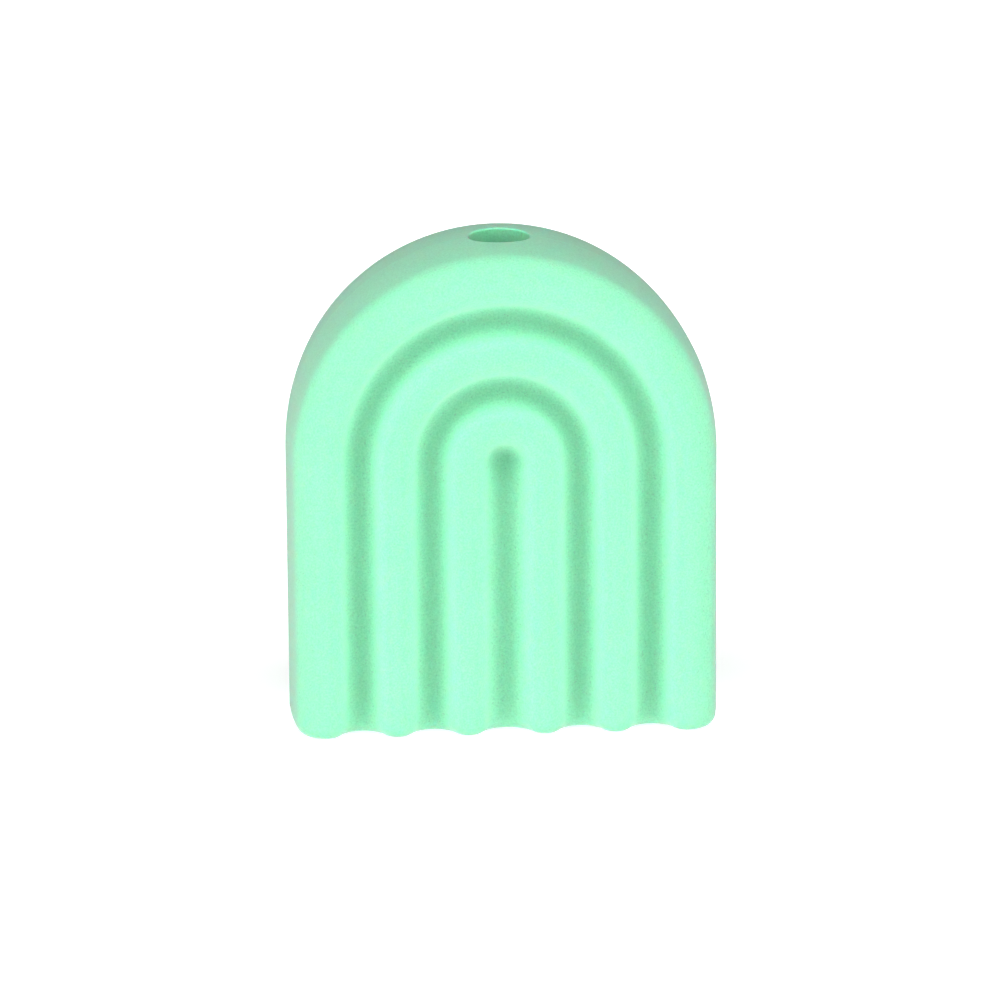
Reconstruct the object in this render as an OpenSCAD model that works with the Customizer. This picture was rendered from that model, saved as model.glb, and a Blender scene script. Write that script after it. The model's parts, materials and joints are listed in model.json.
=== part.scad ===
// Rainbow arch bead: one moulding of soft silicone rubber.
// Three rounded ribs stand one inside the other on the front and the back, and their legs end at a
// flat foot. A threading hole runs up the middle, from the foot to the top of the arch.
// Width is along X, thickness along Y and the hole along Z, and the foot stands on z = 0.

/* [Bead] */
// Width across the two outer legs
bead_w = 20; // [19.5:0.1:22]
// Height from the foot to the top of the arch
bead_h = 23; // [16:0.5:30]
// Thickness from the front ribs to the back ribs
bead_t = 8.5; // [7.5:0.1:12]

/* [Ribs] */
// Distance from one rib to the next
rib_pitch = 3.3; // [3.2:0.02:3.4]
// Depth of the grooves below the ribs
groove_depth = 1.1; // [0.8:0.05:1.2]
// Radius of the rounded top of a rib
rib_r = 0.95; // [0.9:0.05:1.3]

/* [Edges] */
// Radius of the outer rib where it turns into the side wall
edge_r = 1.42; // [1.3:0.01:1.6]
// How far the side wall bulges at the middle of the thickness
wall_bulge = 0.2; // [0.05:0.01:0.3]
// Radius of the rounded edge around the foot
foot_r = 0.6; // [0.3:0.05:0.7]

/* [Threading hole] */
// Diameter of the hole
hole_d = 2.8; // [2:0.1:3]
// Radius of the rounded lip at each end of the hole
lip_r = 0.1; // [0.1:0.05:0.4]

/* [Hidden] */
$fn = 96;

mint = [0.65, 1, 0.84];
ribs = 3; // ribs on each side of the middle groove
hole_r = hole_d / 2;
half_w = bead_w / 2;
half_t = bead_t / 2;
arch_z = bead_h - half_w; // height of the arch's centre
slack = 1; // how far a cutter runs past what it cuts

// The side wall is a shallow arc about [wall_x, 0]. The edge's arc touches it from inside.
edge_y = half_t - edge_r;
wall_r = (pow(edge_y, 2) + pow(wall_bulge, 2)) / (2 * wall_bulge) + edge_r;
wall_x = half_w - wall_r;
edge_x = wall_x + sqrt(pow(wall_r - edge_r, 2) - pow(edge_y, 2));

// The ribs are spaced inwards from the edge. A groove lies halfway between two ribs, and the first
// one lies in the middle of the bead. Its floor is an arc that touches the arcs of its ribs.
function rib(i) = [edge_x - (ribs - 1 - i) * rib_pitch, half_t - rib_r];
function groove_x(i) = i == 0 ? 0 : rib(i).x - rib_pitch / 2;
function groove_r(i) =
    (pow(rib(i).x - groove_x(i), 2) + pow(groove_depth, 2)) / (2 * groove_depth) - rib_r;
function groove(i) = [groove_x(i), half_t - groove_depth + groove_r(i)];

// The line through the centres of all those arcs. Arcs change over where they cross it.
spine = [for (i = [0 : ribs - 1]) each [groove(i), rib(i)]];
wall_way = ([edge_x, edge_y] - [wall_x, 0]) / norm([edge_x - wall_x, edge_y]);
wall_corner = [wall_x, 0] + (wall_r + slack) * wall_way;

// Below the spine, before the grooves are cut.
module core_area() polygon([[0, 0], each spine, [edge_x, 0]]);

// Where rib i's arc is the outline.
module rib_area(i) polygon([
    rib(i),
    groove(i),
    [groove_x(i), bead_t],
    each i == ribs - 1 ? [[edge_x, bead_t]] : [[groove_x(i + 1), bead_t], groove(i + 1)]
]);

// Where the edge's arc is the outline.
module edge_area() polygon([[edge_x, edge_y], [edge_x, bead_t], [bead_w, bead_t], wall_corner]);

// Where the side wall's arc is the outline.
module wall_area() polygon([[edge_x, 0], [edge_x, edge_y], wall_corner, [bead_w, 0]]);

// A quarter of the section: x >= 0, y >= 0.
module quarter_section() {
    difference() {
        core_area();
        for (i = [0 : ribs - 1]) translate(groove(i)) circle(groove_r(i));
    }
    for (i = [0 : ribs - 1]) intersection() {
        rib_area(i);
        translate(rib(i)) circle(rib_r);
    }
    intersection() {
        edge_area();
        translate([edge_x, edge_y]) circle(edge_r);
    }
    intersection() {
        wall_area();
        translate([wall_x, 0]) circle(wall_r);
    }
}

// A round column whose foot edge is rounded.
module column(r) rotate_extrude() {
    translate([0, foot_r]) square([r, arch_z - foot_r]);
    square([r - foot_r, foot_r]);
    intersection() {
        square([r, foot_r]);
        translate([r - foot_r, foot_r]) circle(foot_r);
    }
}

// A round cutter that flares out at the foot, so that what it leaves has a rounded foot edge.
module flared_cutter(r, flare, height) rotate_extrude() {
    translate([0, -slack]) square([r, height + slack]);
    difference() {
        translate([0, -slack]) square([r + flare, flare + slack]);
        translate([r + flare, flare]) circle(flare);
    }
}

// A quarter of the legs, with the rounded foot.
module quarter_legs() {
    difference() {
        linear_extrude(arch_z) core_area();
        for (i = [0 : ribs - 1]) translate(groove(i))
            flared_cutter(groove_r(i), foot_r, arch_z + slack);
    }
    for (i = [0 : ribs - 1]) intersection() {
        linear_extrude(arch_z) rib_area(i);
        translate(rib(i)) column(rib_r);
    }
    intersection() {
        linear_extrude(arch_z) edge_area();
        translate([edge_x, edge_y]) column(edge_r);
    }
    intersection() {
        linear_extrude(arch_z) wall_area();
        translate([wall_x, 0]) column(wall_r);
    }
}

module legs() for (side = [0, 1], face = [0, 1])
    mirror([side, 0]) mirror([0, face]) quarter_legs();

module arch() translate([0, 0, arch_z]) rotate([90, 0, 0]) rotate_extrude(angle = 180) {
    quarter_section();
    mirror([0, 1]) quarter_section();
}

module hole() {
    flared_cutter(hole_r, lip_r, arch_z);
    translate([0, 0, bead_h]) mirror([0, 0, 1]) flared_cutter(hole_r, lip_r, half_w + slack);
}

module silicone_bead() color(mint) difference() {
    union() {
        legs();
        arch();
    }
    hole();
}

silicone_bead();
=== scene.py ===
"""A rainbow arch teething bead of matte mint silicone, standing on a pale floor in soft studio light."""

import json
import math

import bmesh
import bpy
import numpy as np
from mathutils import Matrix, Vector, noise

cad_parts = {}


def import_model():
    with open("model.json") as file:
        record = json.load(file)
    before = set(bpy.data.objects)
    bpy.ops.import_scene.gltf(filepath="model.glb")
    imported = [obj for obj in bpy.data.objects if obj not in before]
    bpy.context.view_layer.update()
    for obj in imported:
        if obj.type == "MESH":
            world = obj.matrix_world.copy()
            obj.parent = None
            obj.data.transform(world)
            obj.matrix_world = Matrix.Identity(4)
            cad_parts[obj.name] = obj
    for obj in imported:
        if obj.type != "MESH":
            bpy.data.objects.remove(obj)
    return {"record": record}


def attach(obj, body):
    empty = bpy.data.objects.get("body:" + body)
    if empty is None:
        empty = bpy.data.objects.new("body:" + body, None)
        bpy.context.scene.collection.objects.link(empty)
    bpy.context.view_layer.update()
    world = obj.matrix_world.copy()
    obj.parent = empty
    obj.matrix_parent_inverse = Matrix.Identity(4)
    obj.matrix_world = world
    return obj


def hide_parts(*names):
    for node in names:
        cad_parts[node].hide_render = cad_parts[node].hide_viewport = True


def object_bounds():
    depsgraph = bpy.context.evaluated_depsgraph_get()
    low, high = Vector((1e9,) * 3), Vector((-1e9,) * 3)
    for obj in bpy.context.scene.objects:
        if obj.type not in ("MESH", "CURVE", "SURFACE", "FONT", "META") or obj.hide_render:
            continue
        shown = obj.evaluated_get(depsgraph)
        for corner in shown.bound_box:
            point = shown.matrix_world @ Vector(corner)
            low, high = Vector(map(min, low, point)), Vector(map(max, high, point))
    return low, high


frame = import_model()
cad_low, cad_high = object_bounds()

MM = 0.001

# The bead's size comes from the frame, and the shape of its section from the same few dimensions
# as the CAD body's.
HALF_W = cad_high.x
HALF_T = cad_high.y
RIBS = 3
RIB_PITCH = 3.3 * MM
RIB_R = 0.95 * MM
GROOVE_DEPTH = 1.1 * MM
EDGE_R = 1.42 * MM
WALL_BULGE = 0.2 * MM
FOOT_R = 0.6 * MM
LIP_R = 0.1 * MM
THREAD_HOLE = next(m for m in frame["record"]["mounts"] if m["name"] == "thread_hole")
HOLE_R = THREAD_HOLE["dims"]["r_mm"] * MM
HEIGHT = 2 * THREAD_HOLE["pos_m"][2]  # the mount is in the middle of the hole
ARCH_Z = HEIGHT - HALF_W
WALL_SIDE = HALF_W / 2  # what lies nearer the middle than this isn't the side wall

# How closely the surface is sampled.
FINE_STEP = 0.02 * MM
PROFILE_STEP = 0.16 * MM
STEP_GROWTH = 1.35  # from each step to the next, beside the seam
ARC_POINTS = 3  # the fewest on an arc
LEG_ROWS = 50
ARCH_ROWS = 180
FOOT_ROWS = 8
ARCH_START = FOOT_ROWS + LEG_ROWS  # the row where the arch begins
PATCH_CELLS = 16  # half the side of the square patch around the hole's upper mouth, in cells
PATCH_RINGS = 9
LIP_ROWS = 6
BORE_ROWS = 40

# What a soft moulding adds to the drawn shape.
BLEND = 0.12 * MM  # how far the arcs of the section run into each other
BLEND_REACH = 4  # in multiples of BLEND
SEAM_HEIGHT = 0.012 * MM
SEAM_WIDTH = 0.07 * MM
UNEVEN = 0.012 * MM
UNEVEN_SIZE = 4.0 * MM


# ---------------------------------------------------------------- the section


def arc(centre, radius, start, end):
    """Points along an arc, FINE_STEP apart."""
    count = max(ARC_POINTS, math.ceil(abs(end - start) * radius / FINE_STEP))
    angles = np.linspace(start, end, count)
    x = centre[0] + radius * np.cos(angles)
    y = centre[1] + radius * np.sin(angles)
    return np.stack([x, y], axis=1)


def bearing(here, there):
    """The angle of the way from one place to another."""
    return math.atan2(there[1] - here[1], there[0] - here[0])


def section_arcs():
    """The arcs from the floor of the middle groove to the middle of the side wall, in order."""
    up, down = math.pi / 2, -math.pi / 2
    edge_y = HALF_T - EDGE_R
    wall_r = (edge_y**2 + WALL_BULGE**2) / (2 * WALL_BULGE) + EDGE_R
    wall = (HALF_W - wall_r, 0.0)
    edge = (wall[0] + math.sqrt((wall_r - EDGE_R) ** 2 - edge_y**2), edge_y)
    ribs = [(edge[0] - (RIBS - 1 - i) * RIB_PITCH, HALF_T - RIB_R) for i in range(RIBS)]
    grooves = []
    for i, rib in enumerate(ribs):
        x = rib[0] - RIB_PITCH / 2 if i else 0.0
        radius = ((rib[0] - x) ** 2 + GROOVE_DEPTH**2) / (2 * GROOVE_DEPTH) - RIB_R
        grooves.append(((x, HALF_T - GROOVE_DEPTH + radius), radius))
    arcs = []
    for i, (rib, (groove, radius)) in enumerate(zip(ribs, grooves)):
        last = i == RIBS - 1
        first_way = bearing(groove, ribs[i - 1]) if i else down
        last_way = up if last else bearing(rib, grooves[i + 1][0])
        arcs.append(arc(groove, radius, first_way, bearing(groove, rib)))
        arcs.append(arc(rib, RIB_R, bearing(rib, groove), last_way))
    arcs.append(arc(edge, EDGE_R, up, bearing(wall, edge)))
    arcs.append(arc(wall, wall_r, bearing(wall, edge), 0.0))
    return np.concatenate([a[:-1] for a in arcs] + [[(HALF_W, 0.0)]])


def lengths_along(points):
    """The length of the line up to each of its points."""
    return np.concatenate([[0.0], np.cumsum(np.linalg.norm(np.diff(points, axis=0), axis=1))])


def at_lengths(points, lengths):
    """The places on the line at those lengths."""
    along = lengths_along(points)
    return np.stack([np.interp(lengths, along, points[:, i]) for i in range(2)], axis=1)


def soften(points):
    """Runs the arcs into each other. The line goes on as its own mirror image past both ends."""
    reach = BLEND_REACH * math.ceil(BLEND / FINE_STEP)
    even = at_lengths(points, np.arange(0, lengths_along(points)[-1], FINE_STEP))
    even = np.concatenate([even, points[-1:]])
    before = even[reach:0:-1] * (-1, 1)
    after = even[-2 : -2 - reach : -1] * (1, -1)
    weights = np.exp(-0.5 * (np.arange(-reach, reach + 1) * FINE_STEP / BLEND) ** 2)
    padded = np.concatenate([before, even, after])
    smooth = [np.convolve(padded[:, i], weights / weights.sum(), mode="valid") for i in range(2)]
    return np.stack(smooth, axis=1)


def section():
    """Points (distance from the middle, half thickness) from the middle groove to the wall's middle,
    with the mould's seam there. They lie closer together beside the seam."""
    line = soften(section_arcs())
    line[0, 0] = line[-1, 1] = 0.0
    line *= ((HALF_W - SEAM_HEIGHT) / line[:, 0].max(), HALF_T / line[:, 1].max())
    line[:, 0] += SEAM_HEIGHT * np.exp(-((line[:, 1] / SEAM_WIDTH) ** 2)) * (line[:, 0] > WALL_SIDE)
    total = lengths_along(line)[-1]
    from_end, step = [0.0], SEAM_WIDTH / 2
    while from_end[-1] + step < total:
        from_end.append(from_end[-1] + step)
        step = min(step * STEP_GROWTH, PROFILE_STEP)
    from_end[-1] = total
    return at_lengths(line, total - np.array(from_end[::-1]))


def ways_out(points):
    """The outward direction at each point of the section."""
    line = np.concatenate([points[1:2] * (-1, 1), points, points[-2:-1] * (1, -1)])
    along = line[2:] - line[:-2]
    return np.stack([-along[:, 1], along[:, 0]], axis=1) / np.linalg.norm(along, axis=1)[:, None]


# ---------------------------------------------------------------- the mesh


def half_loop(points):
    """The section from the middle of the front, round the wall, to the middle of the back."""
    return np.concatenate([points * (1, -1), points[-2::-1]])


def flat_row(points, z):
    """The half loop at a height on the right leg."""
    loop = half_loop(points)
    return np.stack([loop[:, 0], loop[:, 1], np.full(len(loop), z)], axis=1)


def leg_rows(points, out):
    """The right leg's rows from the foot up: the rounded foot edge, then the straight leg."""
    rows = []
    for turn in np.linspace(math.pi / 2, 0, FOOT_ROWS, endpoint=False):
        inset = FOOT_R * (1 - math.cos(turn))
        rows.append(flat_row(points - out * inset, FOOT_R * (1 - math.sin(turn))))
    return rows + [flat_row(points, z) for z in np.linspace(FOOT_R, ARCH_Z, LEG_ROWS, endpoint=False)]


def arch_row(points, angle):
    """The half loop swung up about the arch's centre."""
    loop = half_loop(points)
    x, z = loop[:, 0] * math.cos(angle), ARCH_Z + loop[:, 0] * math.sin(angle)
    return np.stack([x, loop[:, 1], z], axis=1)


def body_rows(points):
    """All the rows, up the right leg, over the arch and down the left leg."""
    leg = leg_rows(points, ways_out(points))
    arch = [arch_row(points, angle) for angle in np.linspace(0, math.pi, ARCH_ROWS + 1)]
    return leg + arch + [row * (-1, 1, 1) for row in reversed(leg)]


def add_verts(bm, rows):
    """A vertex for each place in the rows. The two legs share the columns in the middle plane, where
    all the rows of the arch meet in one point."""
    grid = []
    for r, row in enumerate(rows):
        verts = [bm.verts.new(place) for place in row[1:-1]]
        if r <= ARCH_START:
            ends = [bm.verts.new(row[0]), bm.verts.new(row[-1])]
        else:
            twin = grid[min(ARCH_START, len(rows) - 1 - r)]
            ends = [twin[0], twin[-1]]
        grid.append([ends[0], *verts, ends[1]])
    return grid


def add_face(bm, *verts):
    """A face, without the corners that fall together."""
    corners = [v for i, v in enumerate(verts) if v is not verts[i - 1]]
    bm.faces.new(corners)


def skin(bm, grid, hole_rows, hole_columns):
    """Faces between the rows, except over the block around the hole's mouth."""
    for r in range(len(grid) - 1):
        for k in range(len(grid[r]) - 1):
            if r in hole_rows and k in hole_columns:
                continue
            add_face(bm, grid[r][k], grid[r][k + 1], grid[r + 1][k + 1], grid[r + 1][k])


def block_edge(grid, rows, columns):
    """The vertices around the block, in order."""
    top, bottom, left, right = rows[-1] + 1, rows[0], columns[0], columns[-1] + 1
    loop = [grid[bottom][k] for k in range(left, right)]
    loop += [grid[r][right] for r in range(bottom, top)]
    loop += [grid[top][k] for k in range(right, left, -1)]
    return loop + [grid[r][left] for r in range(top, bottom, -1)]


def bridge(bm, one, other):
    """Faces between two rings."""
    for i in range(len(one)):
        add_face(bm, one[i - 1], one[i], other[i], other[i - 1])


def crown_height(points, x, y):
    """The height of the top of the arch over a place near the middle."""
    wall = points[points[:, 0] > WALL_SIDE]
    wall = wall[wall[:, 1] < wall[:, 1].max()]
    return ARCH_Z + math.sqrt(np.interp(abs(y), wall[::-1, 1], wall[::-1, 0]) ** 2 - x**2)


def next_ring(bm, loop, places):
    """A new ring at the places, with faces from the last ring to it."""
    ring = [bm.verts.new(place) for place in places]
    bridge(bm, loop, ring)
    return ring


def bore(bm, points, mouth):
    """The hole from its upper mouth down to the foot: the patch around the mouth, the rounded lip,
    the wall and the rounded lip in the foot. Gives back the ring in the foot's face."""

    def on_crown(x, y, drop):
        return x, y, crown_height(points, x, y) - drop

    corners = [v.co.copy() for v in mouth]
    ways = [Vector((corner.x, corner.y, 0)).normalized() for corner in corners]
    lip_edge = HOLE_R + LIP_R
    lip_turns = np.linspace(0, math.pi / 2, LIP_ROWS + 1)[1:]
    loop = mouth
    for part in range(1, PATCH_RINGS + 1):
        near = part / PATCH_RINGS
        spots = [corner * (1 - near) + way * lip_edge * near for corner, way in zip(corners, ways)]
        loop = next_ring(bm, loop, [on_crown(spot.x, spot.y, 0.0) for spot in spots])
    for turn in lip_turns:
        r = lip_edge - LIP_R * math.sin(turn)
        drop = LIP_R * (1 - math.cos(turn))
        loop = next_ring(bm, loop, [on_crown(way.x * r, way.y * r, drop) for way in ways])
    tops = [v.co.z for v in loop]
    for part in np.linspace(0, 1, BORE_ROWS + 1)[1:]:
        heights = [top + (LIP_R - top) * part for top in tops]
        places = [(way.x * HOLE_R, way.y * HOLE_R, z) for way, z in zip(ways, heights)]
        loop = next_ring(bm, loop, places)
    for turn in lip_turns:
        r = lip_edge - LIP_R * math.cos(turn)
        z = LIP_R * (1 - math.sin(turn))
        loop = next_ring(bm, loop, [(way.x * r, way.y * r, z) for way in ways])
    return loop


def foot_face(bm, grid, ring):
    """The flat face between the foot's outline and the hole's lower mouth. The outline is the first
    row, round the right leg, and then the last one, round the left leg."""
    outline = grid[0] + grid[-1][-2:0:-1]
    edges = []
    for loop in (outline, ring):
        for i in range(len(loop)):
            edges.append(bm.edges.get((loop[i - 1], loop[i])))
    bmesh.ops.triangle_fill(bm, use_beauty=True, use_dissolve=False, edges=edges)


def drop_loose(bm):
    """Takes out the rows' places inside the hole's mouth, which no face uses."""
    loose = [v for v in bm.verts if not v.link_faces]
    bmesh.ops.delete(bm, geom=loose, context="VERTS")


def make_uneven(bm):
    """The slight unevenness of a soft moulding, always inwards, so that the size stays."""
    bm.normal_update()
    moves = []
    for v in bm.verts:
        depth = 0.5 + 0.5 * noise.noise(v.co / UNEVEN_SIZE)
        rise = min(1.0, v.co.z / FOOT_R)  # none in the foot's face, so that it stays flat
        moves.append((v, v.normal * (-UNEVEN * depth * rise)))
    for v, move in moves:
        v.co += move


def make_bead():
    """The whole bead as one closed mesh, smooth all over."""
    points = section()
    bm = bmesh.new()
    grid = add_verts(bm, body_rows(points))
    middle_row = ARCH_START + ARCH_ROWS // 2
    middle_column = len(points) - 1
    rows = range(middle_row - PATCH_CELLS, middle_row + PATCH_CELLS)
    columns = range(middle_column - PATCH_CELLS, middle_column + PATCH_CELLS)
    skin(bm, grid, rows, columns)
    ring = bore(bm, points, block_edge(grid, rows, columns))
    foot_face(bm, grid, ring)
    drop_loose(bm)
    bmesh.ops.recalc_face_normals(bm, faces=bm.faces)
    make_uneven(bm)
    for face in bm.faces:
        face.smooth = True
    mesh = bpy.data.meshes.new("bead_body")
    bm.to_mesh(mesh)
    bm.free()
    bead = bpy.data.objects.new("bead_body", mesh)
    bpy.context.scene.collection.objects.link(bead)
    return bead


# ---------------------------------------------------------------- materials

WHITE = (1, 1, 1, 1)
MINT_DEEP = (0.32, 0.7, 0.485, 1)
MINT_PALE = (0.385, 0.764, 0.56, 1)
DRIFT_TINT = (0.97, 0.985, 0.975, 1)
SPECK_TINT = (0.98, 0.86, 0.92, 1)
SHEEN_TINT = (1.0, 0.45, 0.72, 1)
FINE = (0.09 * MM, 2)  # the size of each noise, and its detail
DRIFT = (3.0 * MM, 3)
SPECKS = (0.07 * MM, 0)
GLOSS = (0.6 * MM, 3)
GRAIN_RANGE = (0.3, 0.7)  # the levels of the noise between which the colour changes
SPECK_RANGE = (0.72, 0.76)
ROUGHNESS = (0.5, 0.64)
SCATTER = (0.05, 1.0, 0.6)  # how far red, green and blue go under the surface, in SCATTER_SIZE
SCATTER_SIZE = 0.5 * MM
BUMP_STRENGTH = 0.35
BUMP_HEIGHT = 0.012 * MM
MIX_A, MIX_B, MIX_RESULT = 6, 7, 2  # the colour sockets of a Mix node

FLOOR_RADIUS = 1.2
FLOOR_SIDES = 96
FLOOR_GREY = (0.6, 0.6, 0.6, 1)
FLOOR_GLOW = 0.6


def grain(tree, where, size, detail):
    """Noise about as coarse as the size, fixed to the object."""
    node = tree.nodes.new("ShaderNodeTexNoise")
    node.inputs["Scale"].default_value = 1 / size
    node.inputs["Detail"].default_value = detail
    tree.links.new(where.outputs["Object"], node.inputs["Vector"])
    return node.outputs["Fac"]


def shade(tree, level, levels, colors):
    """One colour below the first level, the other above the second, and a blend between them."""
    node = tree.nodes.new("ShaderNodeValToRGB")
    for element, position, color in zip(node.color_ramp.elements, levels, colors):
        element.position = position
        element.color = color
    tree.links.new(level, node.inputs["Fac"])
    return node.outputs["Color"]


def times(tree, one, other):
    """One colour multiplied by another."""
    node = tree.nodes.new("ShaderNodeMix")
    node.data_type = "RGBA"
    node.blend_type = "MULTIPLY"
    node.inputs["Factor"].default_value = 1.0
    tree.links.new(one, node.inputs[MIX_A])
    tree.links.new(other, node.inputs[MIX_B])
    return node.outputs[MIX_RESULT]


def mint(tree, where, fine):
    """Mint with a fine grain, a slow drift and faint pinkish specks."""
    base = shade(tree, fine, GRAIN_RANGE, (MINT_DEEP, MINT_PALE))
    drift = shade(tree, grain(tree, where, *DRIFT), GRAIN_RANGE, (DRIFT_TINT, WHITE))
    specks = shade(tree, grain(tree, where, *SPECKS), SPECK_RANGE, (WHITE, SPECK_TINT))
    return times(tree, times(tree, base, drift), specks)


def uneven_gloss(tree, where):
    """A roughness that varies a little over the surface."""
    node = tree.nodes.new("ShaderNodeMapRange")
    node.inputs["To Min"].default_value = ROUGHNESS[0]
    node.inputs["To Max"].default_value = ROUGHNESS[1]
    tree.links.new(grain(tree, where, *GLOSS), node.inputs["Value"])
    return node.outputs["Result"]


def powdery_bump(tree, fine):
    """The fine grain as a very low relief."""
    node = tree.nodes.new("ShaderNodeBump")
    node.inputs["Strength"].default_value = BUMP_STRENGTH
    node.inputs["Distance"].default_value = BUMP_HEIGHT
    tree.links.new(fine, node.inputs["Height"])
    return node.outputs["Normal"]


def silicone():
    """Matte mint silicone rubber: soft light under the surface, and a fine powdery grain."""
    mat = bpy.data.materials.new("mint_silicone")
    mat.use_nodes = True
    tree = mat.node_tree
    shader = tree.nodes["Principled BSDF"]
    shader.inputs["IOR"].default_value = 1.41
    shader.inputs["Specular IOR Level"].default_value = 0.3
    shader.inputs["Subsurface Weight"].default_value = 0.5
    shader.inputs["Subsurface Radius"].default_value = SCATTER
    shader.inputs["Subsurface Scale"].default_value = SCATTER_SIZE
    shader.inputs["Sheen Weight"].default_value = 0.28
    shader.inputs["Sheen Tint"].default_value = SHEEN_TINT
    shader.inputs["Sheen Roughness"].default_value = 0.5
    where = tree.nodes.new("ShaderNodeTexCoord")
    fine = grain(tree, where, *FINE)
    tree.links.new(mint(tree, where, fine), shader.inputs["Base Color"])
    tree.links.new(uneven_gloss(tree, where), shader.inputs["Roughness"])
    tree.links.new(powdery_bump(tree, fine), shader.inputs["Normal"])
    return mat


def floor_material():
    """A pale floor, brightened to the camera as a lit paper sweep is."""
    mat = bpy.data.materials.new("pale_floor")
    mat.use_nodes = True
    shader = mat.node_tree.nodes["Principled BSDF"]
    shader.inputs["Base Color"].default_value = FLOOR_GREY
    shader.inputs["Roughness"].default_value = 1.0
    shader.inputs["Specular IOR Level"].default_value = 0.0
    shader.inputs["Emission Color"].default_value = WHITE
    shader.inputs["Emission Strength"].default_value = FLOOR_GLOW
    return mat


# ---------------------------------------------------------------- the stage


def make_floor():
    """A pale disc under the bead. It takes the bead's shadow, but throws no light back at it."""
    bm = bmesh.new()
    bmesh.ops.create_circle(bm, cap_ends=True, segments=FLOOR_SIDES, radius=FLOOR_RADIUS)
    mesh = bpy.data.meshes.new("floor")
    bm.to_mesh(mesh)
    bm.free()
    floor = bpy.data.objects.new("floor", mesh)
    bpy.context.scene.collection.objects.link(floor)
    floor.data.materials.append(floor_material())
    floor.visible_diffuse = False
    floor.visible_glossy = False
    floor.visible_shadow = False


# Each light is a soft band about an axis: stops of (degrees from the axis, level), from the outside in.
RING_STOPS = [
    (90, 0.0),
    (86, 0.1),
    (76, 0.66),
    (68, 1.0),
    (60, 0.68),
    (50, 0.17),
    (38, 0.08),
    (22, 0.17),
    (0, 0.34),
]
RING_STRENGTH = 4.55
RING_LEAN = (-0.07, 0, 0.08)  # a little more light from the left and from above
BACK_STOPS = [
    (62, 0.0),
    (54, 0.7),
    (45, 1.0),
    (34, 0.8),
    (24, 0.1),
    (0, 0.05),
]
BACK_STRENGTH = 0.45
BACK_LEAN = (0, 0, -8.0)  # mostly from below, and none from above
FRONT = (0, -1, 0)
BACK = (0, 1, 0)
SEEN_WHITE = 1.05


def along(tree, where, way):
    """How far the direction of the light goes along a way."""
    node = tree.nodes.new("ShaderNodeVectorMath")
    node.operation = "DOT_PRODUCT"
    node.inputs[1].default_value = way
    tree.links.new(where.outputs["Generated"], node.inputs[0])
    return node.outputs["Value"]


def set_stop(element, degrees, level):
    """Grey of a level at the cosine of the angle."""
    element.position = math.cos(math.radians(degrees))
    element.color = (level, level, level, 1)


def band(tree, where, axis, stops, strength, lean):
    """White light from a soft band about an axis, stronger towards the side that it leans to."""
    ramp = tree.nodes.new("ShaderNodeValToRGB")
    ramp.color_ramp.interpolation = "EASE"
    elements = ramp.color_ramp.elements
    set_stop(elements[0], *stops[0])
    set_stop(elements[1], *stops[-1])
    for degrees, level in stops[1:-1]:
        set_stop(elements.new(math.cos(math.radians(degrees))), degrees, level)
    tree.links.new(along(tree, where, axis), ramp.inputs["Fac"])
    leaning = tree.nodes.new("ShaderNodeMath")
    leaning.operation = "MULTIPLY_ADD"
    leaning.inputs[1].default_value = strength
    leaning.inputs[2].default_value = strength
    tree.links.new(along(tree, where, lean), leaning.inputs[0])
    positive = tree.nodes.new("ShaderNodeMath")
    positive.operation = "MAXIMUM"
    positive.inputs[1].default_value = 0.0
    tree.links.new(leaning.outputs["Value"], positive.inputs[0])
    lit = tree.nodes.new("ShaderNodeBackground")
    tree.links.new(ramp.outputs["Color"], lit.inputs["Color"])
    tree.links.new(positive.outputs["Value"], lit.inputs["Strength"])
    return lit.outputs["Background"]


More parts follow.
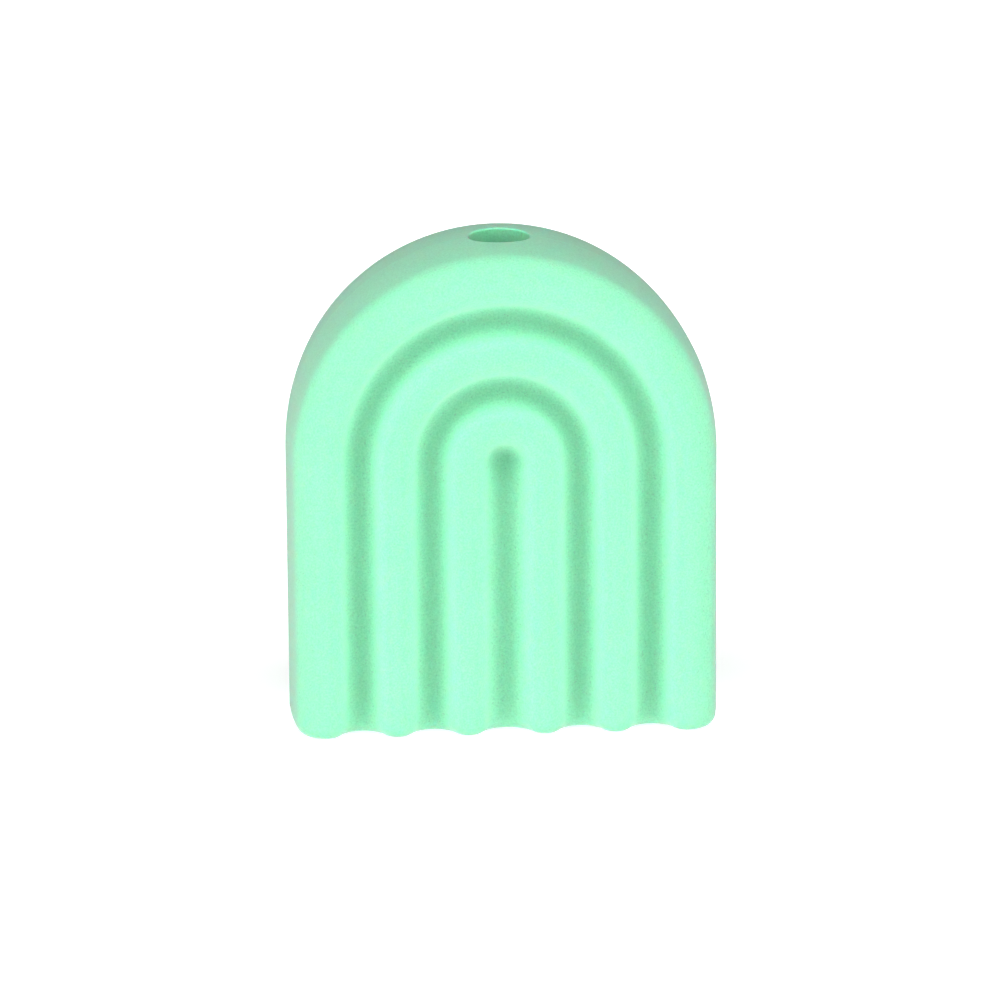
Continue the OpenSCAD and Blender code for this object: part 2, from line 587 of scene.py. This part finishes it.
def world():
    """White to the camera. The light comes from a broad soft ring about the front, and from a
    weaker one about the back."""
    studio = bpy.data.worlds.new("studio")
    bpy.context.scene.world = studio
    studio.use_nodes = True
    tree = studio.node_tree
    tree.nodes.clear()
    where = tree.nodes.new("ShaderNodeTexCoord")
    ring = band(tree, where, FRONT, RING_STOPS, RING_STRENGTH, RING_LEAN)
    back = band(tree, where, BACK, BACK_STOPS, BACK_STRENGTH, BACK_LEAN)
    both = tree.nodes.new("ShaderNodeAddShader")
    tree.links.new(ring, both.inputs[0])
    tree.links.new(back, both.inputs[1])
    seen = tree.nodes.new("ShaderNodeBackground")
    seen.inputs["Color"].default_value = WHITE
    seen.inputs["Strength"].default_value = SEEN_WHITE
    path = tree.nodes.new("ShaderNodeLightPath")
    mix = tree.nodes.new("ShaderNodeMixShader")
    out = tree.nodes.new("ShaderNodeOutputWorld")
    tree.links.new(path.outputs["Is Camera Ray"], mix.inputs["Fac"])
    tree.links.new(both.outputs["Shader"], mix.inputs[1])
    tree.links.new(seen.outputs["Background"], mix.inputs[2])
    tree.links.new(mix.outputs["Shader"], out.inputs["Surface"])


CAM_AZ = -3.5
CAM_EL = 15.7
CAM_ROLL = 0.4
CAM_DISTANCE = 300 * MM
PIXELS = 1000
PIXELS_PER_MM = 21.53
SENSOR = 36.0
MARK = Vector((0, 0, 13 * MM))  # this point lands at MARK_PIXEL
MARK_PIXEL = (500.5, 443.0)
NEAREST = 0.01
FARTHEST = 10
GAMMA = 0.7  # below 1 for a harder contrast


def camera():
    """The camera looks at the front from a little to the left and above, with a long lens."""
    az = math.radians(CAM_AZ)
    el = math.radians(CAM_EL)
    forward = Vector((-math.sin(az) * math.cos(el), math.cos(az) * math.cos(el), -math.sin(el)))
    right = Vector((math.cos(az), math.sin(az), 0))
    up = right.cross(forward)
    roll = Matrix.Rotation(math.radians(CAM_ROLL), 3, forward)
    right = roll @ right
    up = roll @ up
    across = (MARK_PIXEL[0] - PIXELS / 2) / PIXELS_PER_MM * MM
    down = (MARK_PIXEL[1] - PIXELS / 2) / PIXELS_PER_MM * MM
    data = bpy.data.cameras.new("camera")
    data.sensor_width = SENSOR
    data.lens = PIXELS_PER_MM * (CAM_DISTANCE / MM) * SENSOR / PIXELS
    data.clip_start = NEAREST
    data.clip_end = FARTHEST
    cam = bpy.data.objects.new("camera", data)
    cam.location = MARK - forward * CAM_DISTANCE - right * across + up * down
    cam.rotation_euler = Matrix((right, up, -forward)).transposed().to_euler()
    bpy.context.scene.collection.objects.link(cam)
    bpy.context.scene.camera = cam


def contrast():
    """The picture's contrast."""
    view = bpy.context.scene.view_settings
    view.view_transform = "Standard"
    view.gamma = GAMMA


bead = make_bead()
bead.data.materials.append(silicone())
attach(bead, "root")
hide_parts("silicone_bead")
make_floor()
world()
camera()
contrast()
